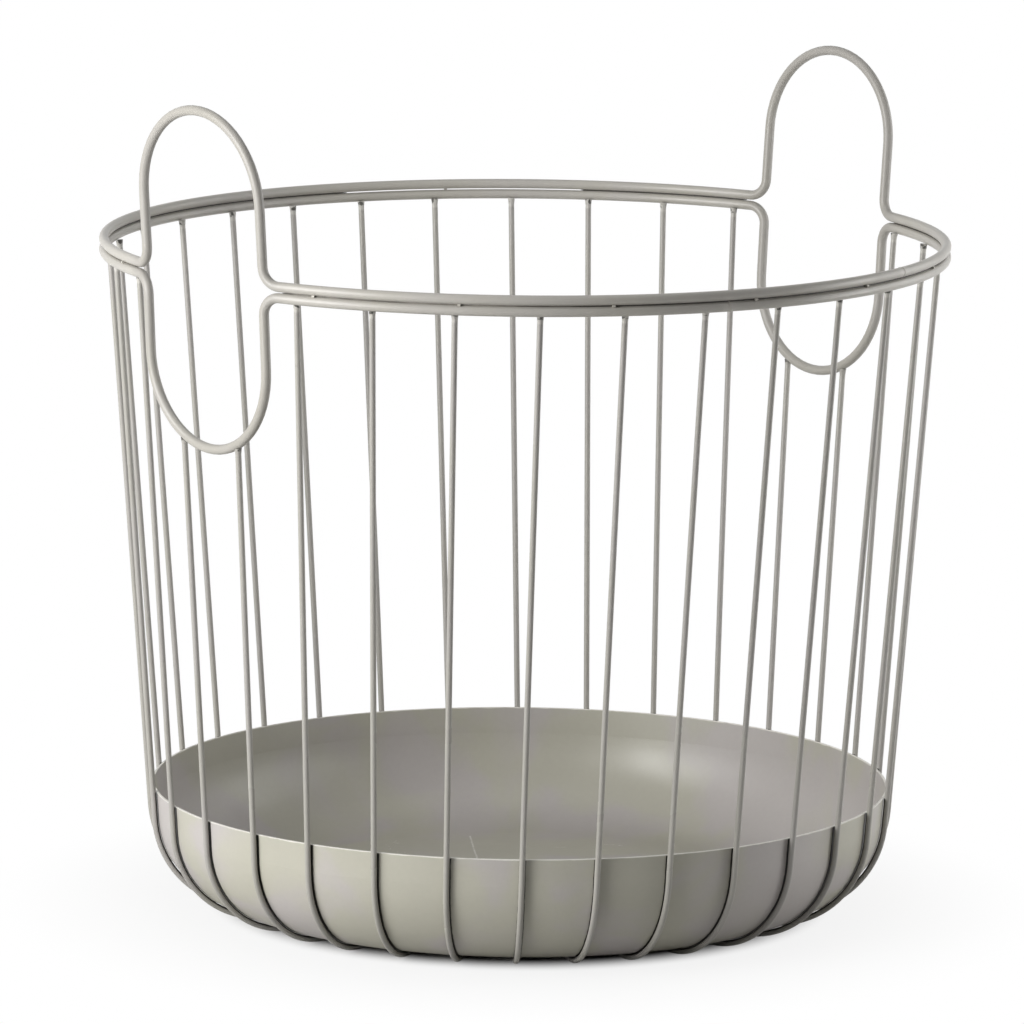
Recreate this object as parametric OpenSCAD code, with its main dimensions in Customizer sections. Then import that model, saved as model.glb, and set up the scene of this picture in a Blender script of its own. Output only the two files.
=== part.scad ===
// Round open basket of bent and welded steel wire with a shallow sheet tray as its floor.
// Two stacked rim wires are each bent from one length: the upper one rises into two arched
// handles, the lower one dips into a loop under each arch. Straight staves hang from the lower
// wire, follow the wall's taper, bend in under the tray and end in flat feet on the floor.
// The origin is on the floor at the basket's axis, +Z is up and the handles are on the X axis.

/* [Rim] */
// Outer diameter of the rim
rim_d = 400; // [360:1:460]
// Height of the rim's top edge over the floor
rim_h = 320; // [260:1:400]
// Diameter of the rim and handle wire
rim_wire_d = 4.6; // [3.8:0.1:5.6]
// Slit between the two rim wires
rim_slit = 0.5; // [0.2:0.05:0.8]

/* [Bends] */
// How much thinner the wire is drawn in a tight bend, and the sheet in the tray's wall
bend_neck = 0.03; // [0.02:0.01:0.06]
// How far a bend laps into the wire at each of its ends
bend_lap = 0.25; // [0.15:0.05:0.35]

/* [Handles] */
// Half the width of a handle, from its middle to the centre of a leg
grip_half_w = 41.5; // [36:0.5:46]
// Length from the rim wire to the start of a handle's round end
grip_leg = 34; // [24:1:50]
// Bend radius between the rim and a handle's leg
grip_bend_r = 8.5; // [6:0.5:11]
// Outward lean of the raised arches
arch_lean = 4; // [2:0.5:9]
// Inward lean of the loops that dip below the rim
dip_lean = 3; // [0.5:0.5:5]

/* [Staves] */
// Number of staves round the basket
stave_count = 32; // [24:4:36]
// Diameter of the stave wire
stave_wire_d = 2.8; // [2.2:0.1:3.6]
// Bend radius at the foot of a stave
stave_bend_r = 47; // [36:1:56]
// Length of the foot that runs in under the tray
foot_len = 40; // [25:1:60]
// Sideways lean of the staves, which turns the feet a little against the rim
stave_lean = 1.1; // [0:0.1:2.5]
// How far inside the centre of the rim wire a stave is welded on
stave_inset = 2.8; // [1.5:0.1:3]
// How far below the centre of the rim wire such a stave's end is
stave_drop = 1.8; // [1.4:0.1:2.2]

/* [Tray] */
// Radius of the tray's flat floor, where the staves touch down
tray_floor_r = 128.5; // [110:0.5:145]
// Height of the tray's raw upper edge over the floor
tray_h = 58; // [50:1:90]
// Thickness of the tray's sheet
sheet_t = 1; // [0.8:0.1:1.6]
// Clearance between a stave and the tray, and at a stave's top end
seat_gap = 0.2; // [0.1:0.05:0.3]

/* [Welds] */
// Number of tack welds between the rim wires along one side
tack_count = 8; // [4:1:10]
// Length of a tack weld along the rim
tack_len = 1.3; // [0.8:0.1:4]
// Diameter of the tack weld's bead in the crevice between the rim wires
tack_d = 1.3; // [1.2:0.1:2.4]
// Position of the upper rim wire's closing weld round the basket
upper_seam_az = 289; // [220:1:320]
// Position of the lower rim wire's closing weld round the basket
lower_seam_az = 256; // [220:1:320]
// Thickness of a closing weld along the wire
seam_t = 0.8; // [0.5:0.1:1.5]
// How far a closing weld stands proud of the wire
seam_proud = 0.15; // [0.05:0.05:0.3]
// How much wider than its wire a stave's weld flares at the rim
flare_grow = 0.7; // [0.4:0.1:0.9]
// Length of a stave's weld flare
flare_len = 3.2; // [2:0.1:4]
// How far a stave's weld flare reaches up beside the wire that the stave hangs from
flare_up = 0.7; // [0.6:0.1:1]
// Diameter of the weld between a foot and the tray
foot_weld_d = 2.2; // [1.6:0.1:2.6]
// How far in from the end of the bend a foot is welded
foot_weld_in = 20; // [8:1:24]
// Clearance left between a weld and the wires that it joins
weld_gap = 0.05; // [0.02:0.01:0.1]

/* [Hidden] */
coat = [0.66, 0.65, 0.61];
wire_facets = 24;
arc_facets = 120;
rim_r = (rim_d - rim_wire_d) / 2;
upper_z = rim_h - rim_wire_d / 2;
lower_z = upper_z - rim_wire_d - rim_slit;
seam_half_turn = asin((seam_t / 2 + weld_gap) / rim_r);
stave_pitch = 360 / stave_count;
bend_z = stave_wire_d / 2 + stave_bend_r;
tray_outer_bend_r = stave_bend_r - stave_wire_d / 2 - seat_gap;
tray_under_z = stave_wire_d + seat_gap;
tack_middle_share = 0.25;
tack_root_share = 0.125;

function stave_name(i) = str("stave_", i < 10 ? "0" : "", i);

// Handle geometry. The tangent of the rim at an azimuth meets the leg's line at a corner, and
// the bend takes the same length, its reach, off both. Up is 1 for an arch and -1 for a dip.
function leg_az(reach) = asin(grip_half_w / norm([rim_r, reach])) + atan(reach / rim_r);
function corner_turn(az, lean, up) = acos(up * sin(az) * sin(lean));
function corner_reach(az, lean, up) = grip_bend_r * tan(corner_turn(az, lean, up) / 2);
function grip_az(lean, up) = leg_az(corner_reach(leg_az(grip_bend_r), lean, up));
function leg_x(az, reach) = rim_r * cos(az) + reach * sin(az);

// Bend tables as a wire former writes them. A row is [feed, roll, bend radius, turn, neck].
function grip_steps(lean, up) =
  let (
    az = grip_az(lean, up),
    turn = corner_turn(az, lean, up),
    straight = grip_leg - corner_reach(az, lean, up),
    roll_up = up * 90 + atan(cos(az) * tan(lean)),
    roll_in = 180 + up * atan(tan(az) * cos(lean))
  )
  [
    [0, roll_up, grip_bend_r, turn, bend_neck],
    [straight, roll_in, grip_half_w, 180, bend_neck],
    [straight, -roll_in, grip_bend_r, turn, bend_neck],
    [0, -roll_up, rim_r, 180 - 2 * az, 0]
  ];

function with_last_turn(steps, turn) =
  [for (i = [0 : len(steps) - 1]) let (s = steps[i]) i < len(steps) - 1 ? s : [s[0], s[1], s[2], turn, s[4]]];

function rim_steps(lean, up, seam_az) =
  let (az = grip_az(lean, up))
  concat(
    [[0, 0, rim_r, 360 - az - seam_az - seam_half_turn, 0]],
    grip_steps(lean, up),
    with_last_turn(grip_steps(lean, up), seam_az - seam_half_turn - 180 - az)
  );

// Wire geometry. A wire starts at the origin along +Z and each bend turns it towards its own +X.
module bar(d, length) {
  cylinder(d = d, h = length, $fn = wire_facets);
}

// A tight bend is drawn a little thinner than the wire, and laps into the wire at both its ends.
module bend(d, r, turn, neck) {
  lap_turn = neck > 0 ? asin(bend_lap / r) : 0;
  translate([r, 0, 0])
    rotate([90, 0, 180])
      rotate([0, 0, -lap_turn])
        rotate_extrude(angle = turn + 2 * lap_turn, $fn = arc_facets)
          translate([r, 0])
            circle(d = d - neck, $fn = wire_facets);
}

module wire_run(d, steps, i = 0) {
  feed = steps[i][0];
  roll = steps[i][1];
  r = steps[i][2];
  turn = steps[i][3];
  if (feed > 0) bar(d, feed);
  translate([0, 0, feed])
    rotate([0, 0, roll]) {
      if (turn > 0) bend(d, r, turn, steps[i][4]);
      if (i < len(steps) - 1)
        translate([r, 0, 0])
          rotate([0, turn, 0])
            translate([-r, 0, 0])
              wire_run(d, steps, i + 1);
    }
}

module rim_wire(z, lean, up, seam_az) {
  rotate([0, 0, seam_az + seam_half_turn])
    translate([rim_r, 0, z])
      rotate([90, 0, 180])
        wire_run(rim_wire_d, rim_steps(lean, up, seam_az));
}

module rim_wire_upper() {
  color(coat) rim_wire(upper_z, arch_lean, 1, upper_seam_az);
}

module rim_wire_lower() {
  color(coat) rim_wire(lower_z, dip_lean, -1, lower_seam_az);
}

// Staves. Most are welded on inside and under the rim wire. Those next to a handle's middle hang
// from the round end of its dip, and start at the centre of that wire.
function stave_az(i) = (i - 0.5) * stave_pitch;
function stave_side(i) = rim_r * sin(stave_az(i));
function under_dip(i) = abs(stave_side(i)) < grip_half_w;
function dip_drop(i) = grip_leg + sqrt(pow(grip_half_w, 2) - pow(stave_side(i), 2));
function dip_x() =
  let (az = grip_az(dip_lean, -1))
  leg_x(az, corner_reach(az, dip_lean, -1));
function stave_top_r(i) =
  under_dip(i) ? norm([dip_x() - dip_drop(i) * sin(dip_lean), stave_side(i)]) : rim_r - stave_inset;
function stave_top_az(i) =
  let (out = dip_x() - dip_drop(i) * sin(dip_lean))
  under_dip(i) ? atan2(stave_side(i), cos(stave_az(i)) > 0 ? out : -out) : stave_az(i);
function stave_top_z(i) = under_dip(i) ? lower_z - dip_drop(i) * cos(dip_lean) : lower_z - stave_drop;

function stave_steps(top_r, top_z) =
  let (
    across = top_r - tray_floor_r,
    down = (top_z - stave_wire_d / 2) / cos(stave_lean) - stave_bend_r,
    slant = norm([across, down]),
    taper = atan2(across, down) - asin(stave_bend_r / slant)
  )
  [taper, [[sqrt(pow(slant, 2) - pow(stave_bend_r, 2)), 0, stave_bend_r, 90 - taper, bend_neck], [foot_len, 0, 0, 0, 0]]];

module stave_flare(drop) {
  translate([0, 0, rim_wire_d / 2 - flare_up - drop])
    cylinder(d1 = stave_wire_d + flare_grow, d2 = stave_wire_d - bend_neck, h = flare_len, $fn = wire_facets);
}

module dip_end(d) {
  az = grip_az(dip_lean, -1);
  translate([leg_x(az, corner_reach(az, dip_lean, -1)), 0, lower_z])
    rotate([0, dip_lean, 0])
      translate([0, 0, -grip_leg])
        rotate([90, 0, 90])
          rotate_extrude(angle = -180, $fn = arc_facets)
            translate([grip_half_w, 0])
              circle(d = d, $fn = wire_facets);
}

module hanging_wire(i) {
  d = rim_wire_d + 2 * seat_gap;
  if (under_dip(i))
    rotate([0, 0, cos(stave_az(i)) > 0 ? 0 : 180]) dip_end(d);
  else
    rotate([0, 0, stave_az(i) - stave_pitch / 2])
      rotate_extrude(angle = stave_pitch, $fn = arc_facets)
        translate([rim_r, lower_z])
          circle(d = d, $fn = wire_facets);
}

module stave(i) {
  top_z = stave_top_z(i);
  plan = stave_steps(stave_top_r(i), top_z);
  color(coat)
    difference() {
      rotate([0, 0, stave_top_az(i)])
        translate([stave_top_r(i), 0, top_z])
          rotate([-stave_lean, 0, 0])
            rotate([0, 180 + plan[0], 0]) {
              wire_run(stave_wire_d, plan[1]);
              stave_flare(under_dip(i) ? 0 : stave_drop);
            }
      hanging_wire(i);
    }
}

// Tray. Its corner shares the bend's centre with the staves, and its wall keeps to their taper.
// The drawn wall is a little thinner than the sheet and laps into the corner.
module tray_section() {
  taper = stave_steps(rim_r - stave_inset, lower_z - stave_drop)[0];
  inner = tray_outer_bend_r - sheet_t;
  wall_len = (tray_h - bend_z + tray_outer_bend_r * sin(taper)) / cos(taper);
  translate([0, tray_under_z]) square([tray_floor_r, sheet_t]);
  translate([tray_floor_r, bend_z]) {
    intersection() {
      difference() {
        circle(r = tray_outer_bend_r, $fn = arc_facets);
        circle(r = inner, $fn = arc_facets);
      }
      translate([0, -tray_outer_bend_r]) square([tray_outer_bend_r, tray_outer_bend_r]);
      rotate(-taper) translate([-tray_outer_bend_r, -2 * tray_outer_bend_r]) square(2 * tray_outer_bend_r);
    }
    rotate(-taper)
      translate([inner + bend_neck / 2, -bend_lap])
        square([sheet_t - bend_neck, bend_lap + wall_len]);
  }
}

module tray() {
  color(coat) rotate_extrude($fn = arc_facets) tray_section();
}

// Welds. Tacks fill short stretches of the crevice between the rim wires on its outer side.
function tack_az(i) =
  let (first = grip_az(arch_lean, 1) + stave_pitch / 2)
  first + (180 - 2 * first) * (i - 1) / (tack_count - 1);

module tack_section() {
  middle = (upper_z + lower_z) / 2;
  difference() {
    translate([rim_r + rim_wire_d * tack_middle_share, middle]) circle(d = tack_d, $fn = wire_facets);
    translate([rim_r, upper_z]) circle(d = rim_wire_d + 2 * weld_gap, $fn = wire_facets);
    translate([rim_r, lower_z]) circle(d = rim_wire_d + 2 * weld_gap, $fn = wire_facets);
    translate([0, middle - tack_d]) square([rim_r + rim_wire_d * tack_root_share, 2 * tack_d]);
  }
}

module rim_tack_welds() {
  sweep = 2 * asin(tack_len / 2 / rim_r);
  color(coat)
    for (side = [0, 180], i = [1 : tack_count])
      rotate([0, 0, side + tack_az(i) - sweep / 2])
        rotate_extrude(angle = sweep, $fn = arc_facets) tack_section();
}

module seam_weld(az, z) {
  rotate([0, 0, az])
    translate([rim_r, seam_t / 2, z])
      rotate([90, 0, 0])
        cylinder(d = rim_wire_d + 2 * seam_proud, h = seam_t, $fn = wire_facets);
}

module rim_seam_welds() {
  color(coat) {
    seam_weld(upper_seam_az, upper_z);
    seam_weld(lower_seam_az, lower_z);
  }
}

module foot_weld(i) {
  top_z = stave_top_z(i);
  aside = (top_z - stave_wire_d / 2) * tan(stave_lean);
  rotate([0, 0, stave_top_az(i)])
    translate([tray_floor_r - foot_weld_in, -aside, stave_wire_d / 2])
      difference() {
        cylinder(d = foot_weld_d, h = tray_under_z - stave_wire_d / 2, $fn = wire_facets);
        translate([-foot_weld_d, 0, 0])
          rotate([0, 90, 0]) cylinder(d = stave_wire_d + 2 * weld_gap, h = 2 * foot_weld_d, $fn = wire_facets);
      }
}

module foot_welds() {
  color(coat) for (i = [1 : stave_count]) foot_weld(i);
}

rim_wire_upper();
rim_wire_lower();
tray();
rim_tack_welds();
rim_seam_welds();
foot_welds();
for (i = [1 : stave_count]) stave(i);
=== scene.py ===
import math

import bmesh
import bpy
from mathutils import Matrix, Vector


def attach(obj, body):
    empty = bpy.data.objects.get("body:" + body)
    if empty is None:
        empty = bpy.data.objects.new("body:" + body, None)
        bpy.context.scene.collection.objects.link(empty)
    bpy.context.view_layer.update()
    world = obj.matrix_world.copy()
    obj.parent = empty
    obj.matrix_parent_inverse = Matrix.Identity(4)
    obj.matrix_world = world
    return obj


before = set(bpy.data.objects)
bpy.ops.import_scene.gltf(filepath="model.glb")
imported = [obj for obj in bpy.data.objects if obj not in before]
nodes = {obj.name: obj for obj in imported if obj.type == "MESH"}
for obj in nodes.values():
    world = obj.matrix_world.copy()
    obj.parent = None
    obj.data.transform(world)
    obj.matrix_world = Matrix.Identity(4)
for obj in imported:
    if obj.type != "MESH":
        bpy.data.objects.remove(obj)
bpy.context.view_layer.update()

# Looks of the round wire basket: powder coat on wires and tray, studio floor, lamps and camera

MM = 0.001

# Places on the basket, in metres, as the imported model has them
RIM_R = 197.7 * MM
RIM_UPPER_Z = 317.7 * MM
RIM_LOWER_Z = 312.6 * MM
RIM_WIRE_R = 2.3 * MM
UPPER_SEAM_AZ = math.radians(289.0)
LOWER_SEAM_AZ = math.radians(256.0)
SEAM_REACH = 7.0 * MM
HANDLE_HALF_W = 46.0 * MM
HANDLE_BLEND_END = 60.0 * MM
STAVE_COUNT = 32
STAVE_PITCH = 2 * math.pi / STAVE_COUNT
STAVE_WIRE_R = 1.4 * MM
STAVE_LEAN = math.radians(1.1)
STAVE_END_Z = RIM_LOWER_Z - 1.8 * MM
DIP_STAVE_AZ = math.radians(5.82)
DIP_STAVE_END_Z = 242.0 * MM
DIP_HALF_W = 30.0 * MM
TRAY_FLOOR_Z = 4.0 * MM
TRAY_EDGE_Z = 58.0 * MM
TRAY_BEND_AT = (128.5 * MM, 48.4 * MM)
TRAY_BEND_R = 45.4 * MM
TRAY_TAPER = math.radians(4.2)
HALF_SHEET = 0.5 * MM

# How far round the basket the lean has carried a stave by the time it reaches the tray, in radians
STAVE_LEAN_TURN = 0.033

# Colours of the coat, of bare scuffs in it, of painted light and shade, and of what shows there
# The rim's coat is painted lighter than the same coat on the staves: painted light from above on
# the ring wires
RIM_COLOUR_PAINTED_LIGHTER = (0.405, 0.387, 0.347, 1)
RIM_COOL_PAINTED_LIGHTER = (0.405, 0.387, 0.357, 1)
STAVE_COLOUR = (0.345, 0.333, 0.301, 1)
STAVE_COOL = (0.345, 0.331, 0.311, 1)
WELD_COLOUR = (0.45, 0.43, 0.385, 1)
SHEET_COLOUR = (0.390, 0.378, 0.318, 1)
SHEET_COOL = (0.395, 0.371, 0.356, 1)
# Pale edge colour: the tray's raw upper edge with a painted highlight along it, the painted
# highlight on a stave's end bead, and the paler coat beside the closing welds
PALE_EDGE_AND_HIGHLIGHT = (0.74, 0.725, 0.67, 1)
SCUFFED = (0.72, 0.71, 0.68, 1)
# Painted shade beside and under the staves on the tray, and the dark joint at a stave's end
PAINTED_SHADE_AND_DARK_JOINT = (0.018, 0.016, 0.012, 1)
SPECK_COLOUR = (0.16, 0.15, 0.13, 1)
# Painted shade in the crevice between the rim wires, lighter over the front left
CREVICE_SHADE_DARK = (0.012, 0.010, 0.008, 1)
CREVICE_SHADE_PALE = (0.045, 0.040, 0.032, 1)
CREVICE_SHADE_LIGHTER = (0.24, 0.225, 0.195, 1)
COAT_IOR = 1.45
CREVICE_IOR = 1.5

# The powder coat of each kind of piece, as values of the powder_coat group
COATS = {
    "rim": {"Coat colour": RIM_COLOUR_PAINTED_LIGHTER, "Cool tint": RIM_COOL_PAINTED_LIGHTER, "Tone drift": 0.10,
            "Roughness": 0.36, "Peel size": 1100.0, "Speck share": 0.12},
    "stave": {"Coat colour": STAVE_COLOUR, "Cool tint": STAVE_COOL, "Tone drift": 0.08,
              "Roughness": 0.33, "Peel size": 1100.0, "Speck share": 0.12},
    "weld": {"Coat colour": WELD_COLOUR, "Cool tint": WELD_COLOUR, "Tone drift": 0.15,
             "Roughness": 0.38, "Peel size": 700.0, "Speck share": 0.3},
    "sheet": {"Coat colour": SHEET_COLOUR, "Cool tint": SHEET_COOL, "Tone drift": 0.12,
              "Roughness": 0.40, "Peel size": 1000.0, "Speck share": 0.08},
}

# Strength and depth of each bump
WIRE_PEEL = (0.06, 0.03 * MM)
SHEET_PEEL = (0.09, 0.04 * MM)
SHEET_WAVES = (0.5, 0.5 * MM)
SEAM_WAVES = (0.35, 0.12 * MM)
STAVE_END_LUMPS = (0.5, 0.2 * MM)
WELD_LUMPS = (0.6, 0.12 * MM)
CREVICE_GRAIN = (0.5, 0.05 * MM)

# Painted light and shade: how much lighter or darker the same coat is painted on a place, for the
# light that place gets
HANDLE_PAINTED_SHADE = 0.86
TRAY_INSIDE_PAINTED_SHADE = 0.93
TRAY_OUTSIDE_PAINTED_LIGHT = 1.06

# Painted shadow on the tray beside each stave: it lies further to one side of the stave, its shadow
# side, by the shift
SHADOW_BAND_SHIFT = 0.22 * MM
SHADOW_BAND_WIDTH = 0.38 * MM

# Scuffs on the tray's floor, in millimetres:
# start, end, width, how broken up each is from 0 to 1, and how far it wanders
SCUFFS = [
    ((61.4, 106.1), (31.5, 66.4), 0.65, 0.25, 0.3),
    ((17.0, 119.0), (8.0, 99.0), 0.55, 0.6, 3.5),
    ((12.0, 113.0), (11.0, 95.0), 0.55, 0.6, 3.5),
    ((25.0, 121.0), (16.0, 103.0), 0.55, 0.6, 3.5),
    ((21.0, 110.0), (6.0, 90.0), 0.55, 0.6, 4.0),
    ((15.0, 99.0), (3.0, 93.0), 0.6, 0.6, 4.0),
    ((74.0, 66.0), (81.0, 57.0), 0.6, 0.6, 3.0),
    ((100.0, 50.0), (106.0, 43.0), 0.6, 0.6, 2.0),
    ((88.0, 46.0), (93.0, 40.0), 0.6, 0.7, 2.0),
]

# Painted shade: a dark strip bridging the crevice between the rim wires: name, first and last
# azimuth in degrees.
# It leaves a see-through slit at the back.
CREVICE_SHADE_STRIPS = {
    "crevice_shade_strip_back_right": (15.2, 40.6),
    "crevice_shade_strip_back_left": (75.0, 164.8),
    "crevice_shade_strip_front": (195.2, 344.8),
}
BRIDGE_HALF_W = 0.5 * MM
BRIDGE_GAP = 0.02 * MM
BRIDGE_FADE_DEG = 1.5
BRIDGE_END_SHARE = 0.15
BRIDGE_STEPS_PER_DEG = 2

# Studio: a floor that widens in rings, with the reaches in metres over which it turns white,
# and area lamps aimed at the basket's middle
FLOOR_R = 40.0
FLOOR_RINGS = 24
FLOOR_SECTORS = 96
FLOOR_CROWDING = 3
FLOOR_FOOT = (0.125, 0.15)
FLOOR_SHADE = (0.14, 0.26)
FLOOR_SHADE_LEVEL = 0.86
FLOOR_GLOSS = (0.16, 0.35)
PAPER_DARK = (0.62, 0.62, 0.61, 1)
PAPER_PALE = (0.65, 0.65, 0.64, 1)
WHITE = (1, 1, 1, 1)
ROOM_TINT = (1.0, 0.99, 0.97, 1)
ROOM_STRENGTH = 0.02
LAMP_AIM_Z = 150.0 * MM

# Each lamp's turn leftward from the camera and lift, in degrees, its distance, width and height
# in metres, and its power in watts
LAMPS = {
    "key_left": (62, 20, 1.3, 0.6, 0.9, 12.4),
    "key_front": (48, 10, 1.3, 0.5, 0.9, 10.2),
    "edge_right": (-95, 12, 1.2, 0.35, 1.0, 3.7),
    "card_right": (-82, 6, 0.7, 0.22, 0.5, 1.05),
    "back_right": (-118, 12, 1.2, 0.35, 1.0, 3.1),
    "top": (0, 88, 1.3, 1.0, 1.0, 3.4),
}

# Camera as the photograph was taken: its angle round the basket, height, distance and small roll
VIEW_AZ = math.radians(-131.389)
VIEW_EL = math.radians(9.987)
VIEW_DISTANCE = 3631.3 * MM
VIEW_ROLL = math.radians(0.570)
VIEW_ASIDE = -4.95 * MM
VIEW_HEIGHT = 187.36 * MM
FRAME_PIXELS = 1024
FOCAL_PIXELS = 7679.8
SENSOR_WIDTH = 36.0
CLIP_END = 100.0


# Shader tools

def new_group(name, inputs, outputs):
    """A node group with its sockets, each input as label, kind and first value."""
    group = bpy.data.node_groups.new(name, "ShaderNodeTree")
    for label, kind, value in inputs:
        made = group.interface.new_socket(name=label, in_out="INPUT",
                                          socket_type="NodeSocket" + kind)
        if value is not None:
            made.default_value = value
    for label, kind in outputs:
        group.interface.new_socket(name=label, in_out="OUTPUT", socket_type="NodeSocket" + kind)
    return group, group.nodes.new("NodeGroupInput"), group.nodes.new("NodeGroupOutput")


class Wiring:
    """Short calls for adding and joining nodes in one tree."""

    def __init__(self, tree):
        self.tree = tree

    def node(self, kind, **settings):
        made = self.tree.nodes.new("ShaderNode" + kind)
        for key, value in settings.items():
            setattr(made, key, value)
        return made

    def join(self, source, target):
        self.tree.links.new(source, target)

    def feed(self, socket, value):
        if hasattr(value, "is_linked"):
            self.join(value, socket)
        else:
            socket.default_value = value

    def math(self, operation, a, b=0.0, clamp=False):
        made = self.node("Math", operation=operation, use_clamp=clamp)
        self.feed(made.inputs[0], a)
        self.feed(made.inputs[1], b)
        return made.outputs[0]

    def product(self, a, b):
        return self.math("MULTIPLY", a, b)

    def total(self, a, b, clamp=False):
        return self.math("ADD", a, b, clamp=clamp)

    def minus(self, a, b):
        return self.math("SUBTRACT", a, b)

    def length_of(self, a, b):
        """Length of the long side of a right angle with sides a and b."""
        return self.math("SQRT", self.total(self.product(a, a), self.product(b, b)))

    def vector_math(self, operation, a, b=None, out=0):
        made = self.node("VectorMath", operation=operation)
        self.feed(made.inputs[0], a)
        if b is not None:
            self.feed(made.inputs[1], b)
        return made.outputs[out]

    def scale(self, vector, factor):
        """A vector or colour times a number."""
        made = self.node("VectorMath", operation="SCALE")
        self.join(vector, made.inputs[0])
        self.feed(made.inputs["Scale"], factor)
        return made.outputs[0]

    def parts(self, vector):
        """X, Y and Z of a vector."""
        made = self.node("SeparateXYZ")
        self.join(vector, made.inputs[0])
        return made.outputs

    def noise_node(self, where, scale, detail, rough=0.5, distortion=0.0):
        made = self.node("TexNoise", noise_dimensions="3D")
        self.join(where, made.inputs["Vector"])
        made.inputs["Scale"].default_value = scale
        made.inputs["Detail"].default_value = detail
        made.inputs["Roughness"].default_value = rough
        made.inputs["Distortion"].default_value = distortion
        return made

    def noise(self, where, scale, detail, rough, distortion=0.0):
        return self.noise_node(where, scale, detail, rough, distortion).outputs["Fac"]

    def ramp(self, value, low, high, to_low=0.0, to_high=1.0):
        made = self.node("MapRange", interpolation_type="SMOOTHSTEP", clamp=True)
        self.feed(made.inputs["Value"], value)
        self.feed(made.inputs["From Min"], low)
        self.feed(made.inputs["From Max"], high)
        self.feed(made.inputs["To Min"], to_low)
        self.feed(made.inputs["To Max"], to_high)
        return made.outputs["Result"]

    def mix_colour(self, factor, a, b):
        """Colour from a to b. A Mix node has its number and vector sockets before its colours."""
        made = self.node("Mix", data_type="RGBA", blend_type="MIX")
        self.feed(made.inputs[0], factor)
        self.feed(made.inputs[6], a)
        self.feed(made.inputs[7], b)
        return made.outputs[2]

    def place(self, group, where, values=None):
        """A node group at the given position, with values for its other inputs by label."""
        made = self.node("Group")
        made.node_tree = group
        self.join(where, made.inputs["Position"])
        for label, value in (values or {}).items():
            made.inputs[label].default_value = value
        return made.outputs

    def bump(self, height, strength, distance, normal=None):
        made = self.node("Bump")
        made.inputs["Strength"].default_value = strength
        made.inputs["Distance"].default_value = distance
        self.join(height, made.inputs["Height"])
        if normal is not None:
            self.join(normal, made.inputs["Normal"])
        return made.outputs["Normal"]


# Effects that the finishes share

def powder_coat_group():
    """Cured powder: fine orange peel, slow drift between two tints, and a few sanded-in specks."""
    slow_scale, fine_scale, cloud_scale, speck_scale = 22.0, 420.0, 19.0, 1400.0
    grain_share, peel_share, fine_peel_share, gloss_drift = 0.07, 0.6, 0.35, 0.4
    tint_range, speck_range, peel_smoothness = (0.42, 0.60), (0.74, 0.8), 0.9
    group, start, end = new_group(
        "powder_coat",
        [("Position", "Vector", None), ("Coat colour", "Color", (0.36, 0.34, 0.3, 1)),
         ("Cool tint", "Color", (0.36, 0.34, 0.33, 1)), ("Tone drift", "Float", 0.05),
         ("Roughness", "Float", 0.42), ("Peel size", "Float", 900.0),
         ("Speck share", "Float", 0.1)],
        [("Colour", "Color"), ("Roughness", "Float"), ("Height", "Float")])
    w = Wiring(group)
    place = start.outputs["Position"]
    slow = w.noise(place, slow_scale, 2.0, 0.45)
    fine = w.noise(place, fine_scale, 3.0, 0.55)
    clouds = w.noise(place, cloud_scale, 3.0, 0.5, 0.6)
    peel_cells = w.node("TexVoronoi", feature="SMOOTH_F1")
    w.join(w.scale(place, start.outputs["Peel size"]), peel_cells.inputs["Vector"])
    peel_cells.inputs["Scale"].default_value = 1.0
    peel_cells.inputs["Smoothness"].default_value = peel_smoothness
    peel = w.product(peel_cells.outputs["Distance"], peel_share)
    drift = w.product(w.minus(slow, 0.5), start.outputs["Tone drift"])
    grain = w.product(w.minus(fine, 0.5), grain_share)
    tone = w.total(w.total(drift, grain), 1.0)
    tinted = w.mix_colour(w.ramp(clouds, *tint_range),
                          start.outputs["Coat colour"], start.outputs["Cool tint"])
    toned = w.scale(tinted, tone)
    speck = w.product(w.ramp(w.noise(place, speck_scale, 1.0, 0.5), *speck_range),
                      start.outputs["Speck share"])
    w.join(w.mix_colour(speck, toned, SPECK_COLOUR), end.inputs["Colour"])
    w.join(w.total(start.outputs["Roughness"], w.product(w.minus(clouds, 0.5), gloss_drift)),
           end.inputs["Roughness"])
    w.join(w.total(peel, w.product(fine, fine_peel_share)), end.inputs["Height"])
    return group


def near_stave_group():
    """How far a point lies aside of the nearest stave's plane, where the staves repeat by Pitch."""
    group, start, end = new_group(
        "near_stave",
        [("Position", "Vector", None), ("Turn", "Float", 0.0), ("Pitch", "Float", STAVE_PITCH),
         ("End height", "Float", STAVE_END_Z), ("Shift", "Float", 0.0)],
        [("Aside", "Float")])
    w = Wiring(group)
    across, away, height = w.parts(start.outputs["Position"])
    from_first = w.minus(w.math("ARCTAN2", away, across), start.outputs["Turn"])
    count = w.math("ROUND", w.math("DIVIDE", w.total(from_first, STAVE_LEAN_TURN),
                                   start.outputs["Pitch"]))
    turned = w.minus(from_first, w.product(count, start.outputs["Pitch"]))
    leaned = w.product(w.minus(start.outputs["End height"], height), math.tan(STAVE_LEAN))
    aside = w.total(w.product(w.length_of(across, away), w.math("SINE", turned)), leaned)
    w.join(w.math("ABSOLUTE", w.minus(aside, start.outputs["Shift"])), end.inputs["Aside"])
    return group


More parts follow.
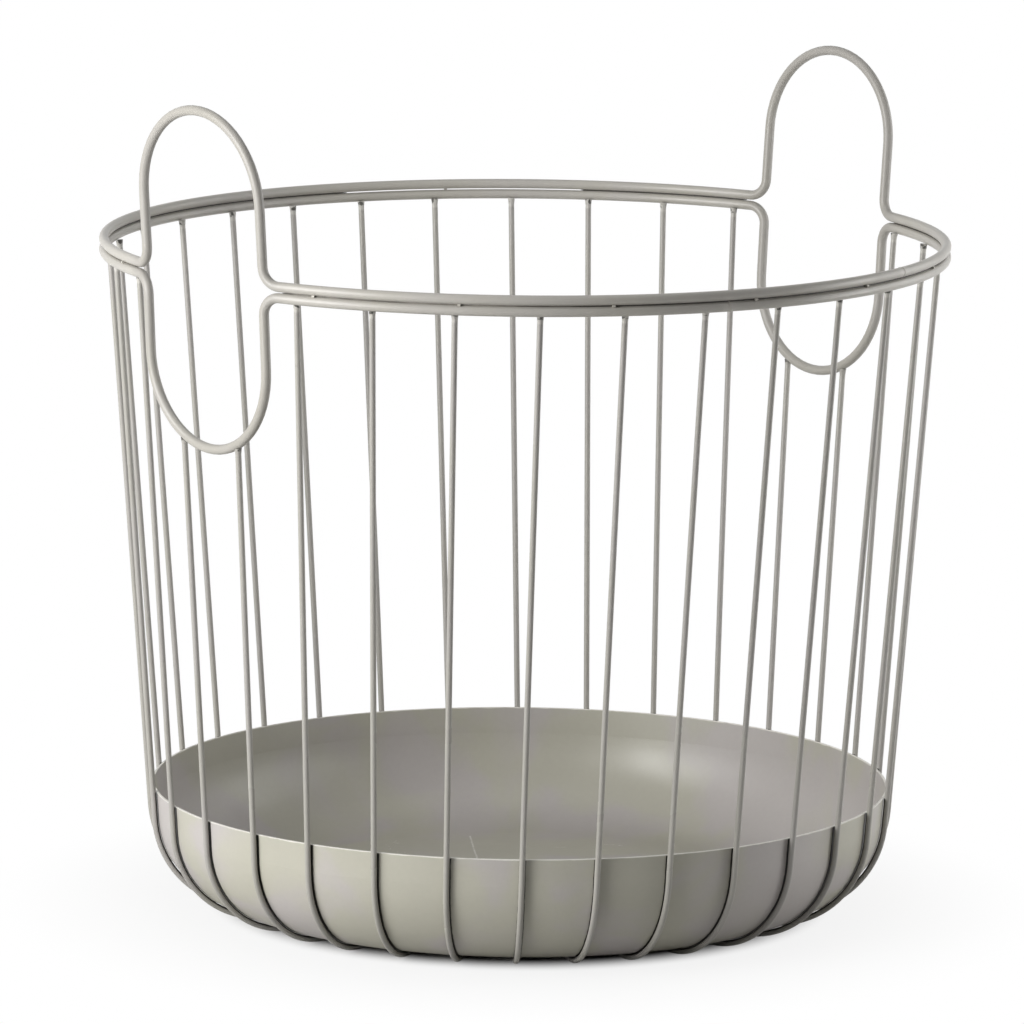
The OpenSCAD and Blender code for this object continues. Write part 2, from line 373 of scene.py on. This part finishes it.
def tray_shell_group():
    """Distance from the ring that the tray's corner bends round: TRAY_BEND_R on its outer face."""
    group, start, end = new_group(
        "tray_shell", [("Position", "Vector", None)], [("Depth", "Float")])
    w = Wiring(group)
    across, away, height = w.parts(start.outputs["Position"])
    out = w.math("MAXIMUM", w.minus(w.length_of(across, away), TRAY_BEND_AT[0]), 0.0)
    up = w.minus(height, TRAY_BEND_AT[1])
    on_wall = w.math("GREATER_THAN", up, -TRAY_BEND_R * math.sin(TRAY_TAPER))
    round_bend = w.length_of(out, up)
    up_wall = w.minus(w.product(out, math.cos(TRAY_TAPER)), w.product(up, math.sin(TRAY_TAPER)))
    depth = w.node("Mix", data_type="FLOAT")
    w.join(on_wall, depth.inputs[0])
    w.join(round_bend, depth.inputs[2])
    w.join(up_wall, depth.inputs[3])
    w.join(depth.outputs[0], end.inputs["Depth"])
    return group


def scuff_group():
    """A scuff between two points that wanders a little: 1 on its line, fading over its width."""
    wander_scale, break_scale, break_share, unbroken = 140.0, 900.0, 0.6, 0.62
    group, start, end = new_group(
        "scuff_line",
        [("Position", "Vector", None), ("From", "Vector", (0, 0, 0)),
         ("To", "Vector", (0.01, 0, 0)), ("Width", "Float", 0.0005), ("Break up", "Float", 0.5),
         ("Wander", "Float", 0.001)],
        [("Mask", "Float")])
    w = Wiring(group)
    drift = w.noise_node(start.outputs["Position"], wander_scale, 1.0).outputs["Color"]
    swing = w.scale(w.vector_math("SUBTRACT", drift, (0.5, 0.5, 0.5)), start.outputs["Wander"])
    place = w.vector_math("ADD", start.outputs["Position"], swing)
    along = w.vector_math("SUBTRACT", start.outputs["To"], start.outputs["From"])
    away = w.vector_math("SUBTRACT", place, start.outputs["From"])
    share = w.math("DIVIDE", w.vector_math("DOT_PRODUCT", away, along, out=1),
                   w.vector_math("DOT_PRODUCT", along, along, out=1), clamp=True)
    gap = w.vector_math("LENGTH", w.vector_math("SUBTRACT", away, w.scale(along, share)), out=1)
    line = w.math("SUBTRACT", 1.0, w.math("DIVIDE", gap, start.outputs["Width"]), clamp=True)
    kept = w.ramp(w.noise(place, break_scale, 2.0, 0.6),
                  w.product(start.outputs["Break up"], break_share), unbroken)
    w.join(w.product(line, kept), end.inputs["Mask"])
    return group


def seam_ripple_group():
    """Ripples in the coat beside a closing weld: Height waves along the wire, Mask their reach."""
    turn_per_metre, drift_scale, drift_share, fade_range = 4200.0, 420.0, 9.0, (0.35, 1.0)
    group, start, end = new_group(
        "seam_ripple",
        [("Position", "Vector", None), ("Seam", "Vector", (0, 0, 0)),
         ("Along", "Vector", (1, 0, 0)), ("Reach", "Float", 0.008)],
        [("Height", "Float"), ("Mask", "Float")])
    w = Wiring(group)
    away = w.vector_math("SUBTRACT", start.outputs["Position"], start.outputs["Seam"])
    share = w.math("DIVIDE", w.vector_math("LENGTH", away, out=1), start.outputs["Reach"])
    mask = w.ramp(share, *fade_range, 1.0, 0.0)
    travel = w.vector_math("DOT_PRODUCT", away, start.outputs["Along"], out=1)
    drift = w.noise(start.outputs["Position"], drift_scale, 2.0, 0.6)
    phase = w.total(w.product(travel, turn_per_metre), w.product(drift, drift_share))
    w.join(w.product(w.math("SINE", phase), mask), end.inputs["Height"])
    w.join(mask, end.inputs["Mask"])
    return group


COAT = powder_coat_group()
SCUFF = scuff_group()
NEAR_STAVE = near_stave_group()
TRAY_SHELL = tray_shell_group()
RIPPLE = seam_ripple_group()


# Finishes

def start_material(name):
    made = bpy.data.materials.new(name)
    made.use_nodes = True
    tree = made.node_tree
    tree.nodes.clear()
    w = Wiring(tree)
    out = w.node("OutputMaterial")
    shader = w.node("BsdfPrincipled")
    w.join(shader.outputs["BSDF"], out.inputs["Surface"])
    where = w.node("TexCoord").outputs["Object"]
    return made, w, shader, where


def end_material(w, shader, colour, roughness, normal, ior=COAT_IOR):
    w.join(colour, shader.inputs["Base Color"])
    w.join(roughness, shader.inputs["Roughness"])
    w.join(normal, shader.inputs["Normal"])
    shader.inputs["IOR"].default_value = ior


def near_stave(w, where, turn, pitch, end_height):
    return w.place(NEAR_STAVE, where, {"Turn": turn, "Pitch": pitch, "End height": end_height,
                                       "Shift": SHADOW_BAND_SHIFT})["Aside"]


def aside_of_staves(w, where):
    """Distance aside of the nearest stave, the four short ones under the dips among them."""
    usual = near_stave(w, where, STAVE_PITCH / 2, STAVE_PITCH, STAVE_END_Z)
    short = [near_stave(w, where, turn, math.pi, DIP_STAVE_END_Z)
             for turn in (DIP_STAVE_AZ, -DIP_STAVE_AZ)]
    at_handles = w.math("LESS_THAN", near_stave(w, where, 0.0, math.pi, STAVE_END_Z), DIP_HALF_W)
    return w.math("MINIMUM", w.total(usual, at_handles), w.math("MINIMUM", *short))


def seam_ripple(w, where, az, z):
    """Ripples beside the closing weld at this azimuth on one rim wire."""
    return w.place(RIPPLE, where, {
        "Seam": Vector((RIM_R * math.cos(az), RIM_R * math.sin(az), z)),
        "Along": (-math.sin(az), math.cos(az), 0), "Reach": SEAM_REACH})


def rim_finish():
    """Rim wires: satin coat painted lighter for light from above on the ring, painted darker on the
    handles, with ripples beside the closing welds.
    """
    ripple_paleness = 0.18
    made, w, shader, where = start_material("coated_rim")
    coat = w.place(COAT, where, COATS["rim"])
    upper = seam_ripple(w, where, UPPER_SEAM_AZ, RIM_UPPER_Z)
    lower = seam_ripple(w, where, LOWER_SEAM_AZ, RIM_LOWER_Z)
    waves = w.total(upper["Height"], lower["Height"])
    near = w.total(upper["Mask"], lower["Mask"], clamp=True)
    # Painted shade: the handle wires are painted darker than the ring
    handle_painted_shade = w.ramp(w.math("ABSOLUTE", w.parts(where)["Y"]),
                         HANDLE_HALF_W, HANDLE_BLEND_END, HANDLE_PAINTED_SHADE, 1.0)
    toned = w.scale(coat["Colour"], handle_painted_shade)
    peel = w.bump(coat["Height"], *WIRE_PEEL)
    end_material(w, shader, w.mix_colour(w.product(near, ripple_paleness), toned, PALE_EDGE_AND_HIGHLIGHT),
                 coat["Roughness"], w.bump(waves, *SEAM_WAVES, peel))
    return made


def stave_finish():
    """Staves: the same coat, with painted shade where the wire meets the tray, and at an end that
    meets the rim a dark joint with painted shade under the rim.
    """
    patch_scale, lump_scale = 330.0, 900.0
    end_share, inner_shade_share, pooled_and_highlight_share = 0.9, 0.95, 0.25
    patch_range = (0.47, 0.56)
    end_band = (STAVE_END_Z - 2.3 * MM, STAVE_END_Z - 1.7 * MM)
    dip_band = (DIP_STAVE_END_Z - 3.4 * MM, DIP_STAVE_END_Z - 2.8 * MM)
    bead_band = (STAVE_END_Z - 4.6 * MM, STAVE_END_Z - 3.4 * MM)
    inner_band = (TRAY_BEND_R + 0.7 * MM, TRAY_BEND_R + 1.3 * MM)
    made, w, shader, where = start_material("coated_stave")
    coat = w.place(COAT, where, COATS["stave"])
    place = w.parts(where)
    height = place["Z"]
    at_end = w.ramp(height, *end_band)
    at_dip = w.ramp(height, *dip_band)
    in_dip = w.math("LESS_THAN", w.math("ABSOLUTE", place["Y"]), DIP_HALF_W)
    ends = w.math("MAXIMUM", at_end, w.product(at_dip, in_dip))
    patch = w.ramp(w.noise(where, patch_scale, 2.0, 0.6), *patch_range)
    bead = w.ramp(height, *bead_band)
    below_edge = w.math("LESS_THAN", height, TRAY_EDGE_Z)
    inner_side = w.ramp(w.place(TRAY_SHELL, where)["Depth"], *inner_band, 1.0, 0.0)
    # Painted shade on the stave's inner side below the tray's edge; at the end, partly a dark joint
    # and partly painted shade under the rim
    painted_shade = w.math("MAXIMUM", w.product(w.product(ends, patch), end_share),
                  w.product(w.product(below_edge, inner_side), inner_shade_share))
    # Painted highlight: the bead below the stave's end is mixed toward the pale edge colour, as
    # coat pooled paler there and as a painted highlight on it
    pooled = w.mix_colour(w.product(bead, pooled_and_highlight_share), coat["Colour"], PALE_EDGE_AND_HIGHLIGHT)
    lumps = w.product(w.noise(where, lump_scale, 2.0, 0.6), ends)
    peel = w.bump(coat["Height"], *WIRE_PEEL)
    end_material(w, shader, w.mix_colour(painted_shade, pooled, PAINTED_SHADE_AND_DARK_JOINT),
                 coat["Roughness"], w.bump(lumps, *STAVE_END_LUMPS, peel))
    return made


def weld_finish():
    """Welds under the coat: lumpier, with the coat pooled a little paler on the bead."""
    lump_scale, lump_share = 700.0, 2.0
    made, w, shader, where = start_material("coated_weld")
    coat = w.place(COAT, where, COATS["weld"])
    lumps = w.product(w.noise(where, lump_scale, 3.0, 0.6), lump_share)
    end_material(w, shader, coat["Colour"], coat["Roughness"],
                 w.bump(w.total(coat["Height"], lumps), *WELD_LUMPS))
    return made


def sheet_finish():
    """Tray: satin coat over slightly wavy drawn sheet, painted darker inside and lighter outside, a
    painted shadow beside each stave, a pale upper edge that is partly raw edge and partly painted
    highlight, and floor scuffs.
    """
    edge_scale, ragged_scale, wave_scale = 160.0, 300.0, 26.0
    edge_unevenness, band_raggedness = 0.7 * MM, 0.5 * MM
    shadow_share, scuff_share, edge_share = 0.97, 0.9, 0.85
    edge_band = (TRAY_EDGE_Z - 0.5 * MM, TRAY_EDGE_Z - 0.1 * MM)
    made, w, shader, where = start_material("coated_sheet")
    coat = w.place(COAT, where, COATS["sheet"])
    uneven = w.product(w.minus(w.noise(where, edge_scale, 2.0, 0.5), 0.5), edge_unevenness)
    edge = w.ramp(w.total(w.parts(where)["Z"], uneven), *edge_band)
    scuffed = None
    for start, stop, width, broken, wander in SCUFFS:
        mask = w.place(SCUFF, where, {
            "From": (start[0] * MM, start[1] * MM, TRAY_FLOOR_Z),
            "To": (stop[0] * MM, stop[1] * MM, TRAY_FLOOR_Z),
            "Width": width * MM, "Break up": broken, "Wander": 2 * wander * MM})["Mask"]
        scuffed = mask if scuffed is None else w.math("MAXIMUM", scuffed, mask)
    ragged = w.product(w.minus(w.noise(where, ragged_scale, 2.0, 0.5), 0.5), band_raggedness)
    # Painted shadow: a dark band on the tray's outside along each stave
    beside = w.ramp(w.total(aside_of_staves(w, where), ragged),
                    STAVE_WIRE_R, STAVE_WIRE_R + SHADOW_BAND_WIDTH, 1.0, 0.0)
    outside = w.math("GREATER_THAN", w.place(TRAY_SHELL, where)["Depth"], TRAY_BEND_R - HALF_SHEET)
    painted_shade = w.product(w.product(beside, outside), shadow_share)
    # Painted light and shade: the same coat painted darker on the tray's inside and lighter on its
    # outside
    painted_inside_shade_outside_light = w.scale(coat["Colour"],
                      w.ramp(outside, 0.0, 1.0, TRAY_INSIDE_PAINTED_SHADE, TRAY_OUTSIDE_PAINTED_LIGHT))
    coloured = w.mix_colour(painted_shade, painted_inside_shade_outside_light, PAINTED_SHADE_AND_DARK_JOINT)
    worn = w.mix_colour(w.product(scuffed, scuff_share), coloured, SCUFFED)
    waves = w.noise(where, wave_scale, 2.0, 0.4)
    peel = w.bump(coat["Height"], *SHEET_PEEL)
    # The pale upper edge is partly the sheet's raw edge and partly a painted highlight along it
    end_material(w, shader, w.mix_colour(w.product(edge, edge_share), worn, PALE_EDGE_AND_HIGHLIGHT),
                 coat["Roughness"], w.bump(waves, *SHEET_WAVES, peel))
    return made


def crevice_shade_finish():
    """Painted shade between the rim wires: dark, and lighter over the front left."""
    grain_scale, slow_scale, lighter_share = 800.0, 60.0, 0.8
    lighter_band, patchy_range, least_patch = (-130.0 * MM, -105.0 * MM), (0.35, 0.6), 0.35
    rough_range, rough_low, rough_high = (0.3, 0.7), 0.6, 0.75
    made, w, shader, where = start_material("crevice_painted_shade")
    grain = w.noise(where, grain_scale, 3.0, 0.6)
    slow = w.noise(where, slow_scale, 2.0, 0.5)
    lighter_front_left = w.ramp(w.parts(where)["X"], *lighter_band, lighter_share, 0.0)
    patchy = w.ramp(slow, *patchy_range, least_patch, 1.0)
    dark = w.mix_colour(grain, CREVICE_SHADE_DARK, CREVICE_SHADE_PALE)
    end_material(w, shader, w.mix_colour(w.product(patchy, lighter_front_left), dark, CREVICE_SHADE_LIGHTER),
                 w.ramp(grain, *rough_range, rough_low, rough_high),
                 w.bump(grain, *CREVICE_GRAIN), CREVICE_IOR)
    return made


RIM = rim_finish()
STAVE = stave_finish()
SHEET = sheet_finish()
WELD = weld_finish()
CREVICE_SHADE_FINISH = crevice_shade_finish()


def finish_for(node):
    """Which finish a CAD node takes, by its name."""
    if node == "tray":
        return SHEET
    if node.endswith("welds"):
        return WELD
    return RIM if node.startswith("rim") else STAVE


for name in nodes:
    for holder in nodes[name].material_slots:
        holder.material = finish_for(name)


# Painted shade strips in the crevice between the rim wires

def bridge_section(height_share):
    """Outline of the bridge across the crevice, hollowed above and below by the two wires."""
    half = (RIM_UPPER_Z - RIM_LOWER_Z) / 2
    outs = [BRIDGE_HALF_W * share for share in (-1.0, -0.5, 0.0, 0.5, 1.0)]
    tops = [(half - math.sqrt(RIM_WIRE_R ** 2 - out ** 2) - BRIDGE_GAP) * height_share
            for out in outs]
    over = list(zip(outs, tops))
    under = [(out, -top) for out, top in reversed(over)]
    return over + under


def crevice_shade_strip(name, first_az, last_az):
    """A strip along the crevice that thins out over its last few degrees."""
    steps = int((last_az - first_az) * BRIDGE_STEPS_PER_DEG)
    middle = (RIM_UPPER_Z + RIM_LOWER_Z) / 2
    work = bmesh.new()
    loops = []
    for step in range(steps + 1):
        az = first_az + (last_az - first_az) * step / steps
        fade = min(1.0, BRIDGE_END_SHARE + (az - first_az) / BRIDGE_FADE_DEG,
                   BRIDGE_END_SHARE + (last_az - az) / BRIDGE_FADE_DEG)
        turn = math.radians(az)
        loops.append([work.verts.new(((RIM_R + out) * math.cos(turn),
                                      (RIM_R + out) * math.sin(turn), middle + up))
                      for out, up in bridge_section(fade)])
    for last, now in zip(loops, loops[1:]):
        for k in range(len(now)):
            nxt = (k + 1) % len(now)
            work.faces.new((last[k], last[nxt], now[nxt], now[k]))
    work.faces.new(loops[0])
    work.faces.new(reversed(loops[-1]))
    bmesh.ops.recalc_face_normals(work, faces=work.faces)
    mesh = bpy.data.meshes.new(name)
    work.to_mesh(mesh)
    work.free()
    mesh.materials.append(CREVICE_SHADE_FINISH)
    made = bpy.data.objects.new(name, mesh)
    bpy.context.collection.objects.link(made)
    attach(made, "root")


for name, (first_az, last_az) in CREVICE_SHADE_STRIPS.items():
    crevice_shade_strip(name, first_az, last_az)


# Floor, world, camera and lamps

def disc_floor(radius, rings, sectors):
    """Studio floor as one round sheet with its rings closer together under the basket."""
    mesh = bpy.data.meshes.new("studio_floor")
    work = bmesh.new()
    middle = work.verts.new((0, 0, 0))
    last = None
    for ring in range(1, rings + 1):
        reach = radius * (ring / rings) ** FLOOR_CROWDING
        now = [work.verts.new((reach * math.cos(2 * math.pi * k / sectors),
                               reach * math.sin(2 * math.pi * k / sectors), 0))
               for k in range(sectors)]
        for k in range(sectors):
            nxt = (k + 1) % sectors
            if last is None:
                work.faces.new((middle, now[k], now[nxt]))
            else:
                work.faces.new((last[k], now[k], now[nxt], last[nxt]))
        last = now
    work.to_mesh(mesh)
    work.free()
    made = bpy.data.objects.new("studio_floor", mesh)
    bpy.context.collection.objects.link(made)
    return made


def floor_finish():
    """White to the camera and in reflections, but for a soft shade round the basket's foot."""
    paper_roughness, paper_gloss, grain_scale = 0.9, 0.1, 60.0
    made = bpy.data.materials.new("white_studio_floor")
    made.use_nodes = True
    tree = made.node_tree
    tree.nodes.clear()
    w = Wiring(tree)
    out = w.node("OutputMaterial")
    paper = w.node("BsdfPrincipled")
    paper.inputs["Roughness"].default_value = paper_roughness
    paper.inputs["Specular IOR Level"].default_value = paper_gloss
    where = w.node("TexCoord").outputs["Object"]
    w.join(w.mix_colour(w.noise(where, grain_scale, 4.0, 0.6), PAPER_DARK, PAPER_PALE),
           paper.inputs["Base Color"])
    lit = w.node("Emission")
    lit.inputs["Color"].default_value = WHITE
    lit.inputs["Strength"].default_value = 1.0
    path = w.node("LightPath")
    mirrored = w.total(path.outputs["Is Glossy Ray"], path.outputs["Is Transmission Ray"],
                       clamp=True)
    reach = w.vector_math("LENGTH", where, out=1)
    past_foot = w.ramp(reach, *FLOOR_FOOT)
    past_shade = w.ramp(reach, *FLOOR_SHADE, FLOOR_SHADE_LEVEL, 1.0)
    in_view = w.product(w.product(past_foot, past_shade), path.outputs["Is Camera Ray"])
    in_gloss = w.product(w.ramp(reach, *FLOOR_GLOSS), mirrored)
    blend = w.node("MixShader")
    w.join(w.total(in_view, in_gloss, clamp=True), blend.inputs[0])
    w.join(paper.outputs[0], blend.inputs[1])
    w.join(lit.outputs[0], blend.inputs[2])
    w.join(blend.outputs[0], out.inputs["Surface"])
    return made


def white_studio():
    """World that is white to the camera and in reflections, and gives almost no light itself."""
    world = bpy.data.worlds.new("white_studio")
    bpy.context.scene.world = world
    world.use_nodes = True
    world.node_tree.nodes.clear()
    w = Wiring(world.node_tree)
    out = w.node("OutputWorld")
    seen = w.node("Background")
    seen.inputs["Color"].default_value = WHITE
    seen.inputs["Strength"].default_value = 1.0
    room = w.node("Background")
    room.inputs["Color"].default_value = ROOM_TINT
    room.inputs["Strength"].default_value = ROOM_STRENGTH
    path = w.node("LightPath")
    mirrored = w.total(path.outputs["Is Glossy Ray"], path.outputs["Is Transmission Ray"])
    blend = w.node("MixShader")
    w.join(w.total(path.outputs["Is Camera Ray"], mirrored, clamp=True), blend.inputs[0])
    w.join(room.outputs[0], blend.inputs[1])
    w.join(seen.outputs[0], blend.inputs[2])
    w.join(blend.outputs[0], out.inputs["Surface"])


def photo_camera():
    """Camera aimed past the basket's axis at the height of its middle, with the photo's roll."""
    towards = Vector((math.cos(VIEW_EL) * math.cos(VIEW_AZ),
                      math.cos(VIEW_EL) * math.sin(VIEW_AZ), math.sin(VIEW_EL)))
    right = Vector((-math.sin(VIEW_AZ), math.cos(VIEW_AZ), 0))
    up = towards.cross(right)
    rolled_right = right * math.cos(VIEW_ROLL) + up * math.sin(VIEW_ROLL)
    rolled_up = up * math.cos(VIEW_ROLL) - right * math.sin(VIEW_ROLL)
    target = Vector((0, 0, VIEW_HEIGHT)) + right * VIEW_ASIDE
    lens = bpy.data.cameras.new("photo_camera")
    lens.sensor_fit = "HORIZONTAL"
    lens.sensor_width = SENSOR_WIDTH
    lens.lens = SENSOR_WIDTH * FOCAL_PIXELS / FRAME_PIXELS
    lens.clip_end = CLIP_END
    camera = bpy.data.objects.new("photo_camera", lens)
    camera.matrix_world = Matrix.Translation(target + towards * VIEW_DISTANCE) @ Matrix(
        (rolled_right, rolled_up, towards)).transposed().to_4x4()
    bpy.context.collection.objects.link(camera)
    bpy.context.scene.camera = camera


def softbox(name, turn, lift, distance, width, height, power):
    """Area lamp aimed at the basket, at a turn leftward from the camera and a lift, in degrees."""
    around = VIEW_AZ - math.radians(turn)
    rise = math.radians(lift)
    aim = Vector((math.cos(rise) * math.cos(around), math.cos(rise) * math.sin(around),
                  math.sin(rise)))
    place = aim * distance + Vector((0, 0, LAMP_AIM_Z))
    lamp = bpy.data.lights.new(name, "AREA")
    lamp.shape = "RECTANGLE"
    lamp.size = width
    lamp.size_y = height
    lamp.energy = power
    holder = bpy.data.objects.new(name, lamp)
    facing = aim.to_track_quat("Z", "Y").to_matrix().to_4x4()
    holder.matrix_world = Matrix.Translation(place) @ facing
    bpy.context.collection.objects.link(holder)


floor = disc_floor(FLOOR_R, FLOOR_RINGS, FLOOR_SECTORS)
floor.data.materials.append(floor_finish())
white_studio()
photo_camera()
for name, values in LAMPS.items():
    softbox(name, *values)

bpy.context.scene.view_settings.view_transform = "Standard"
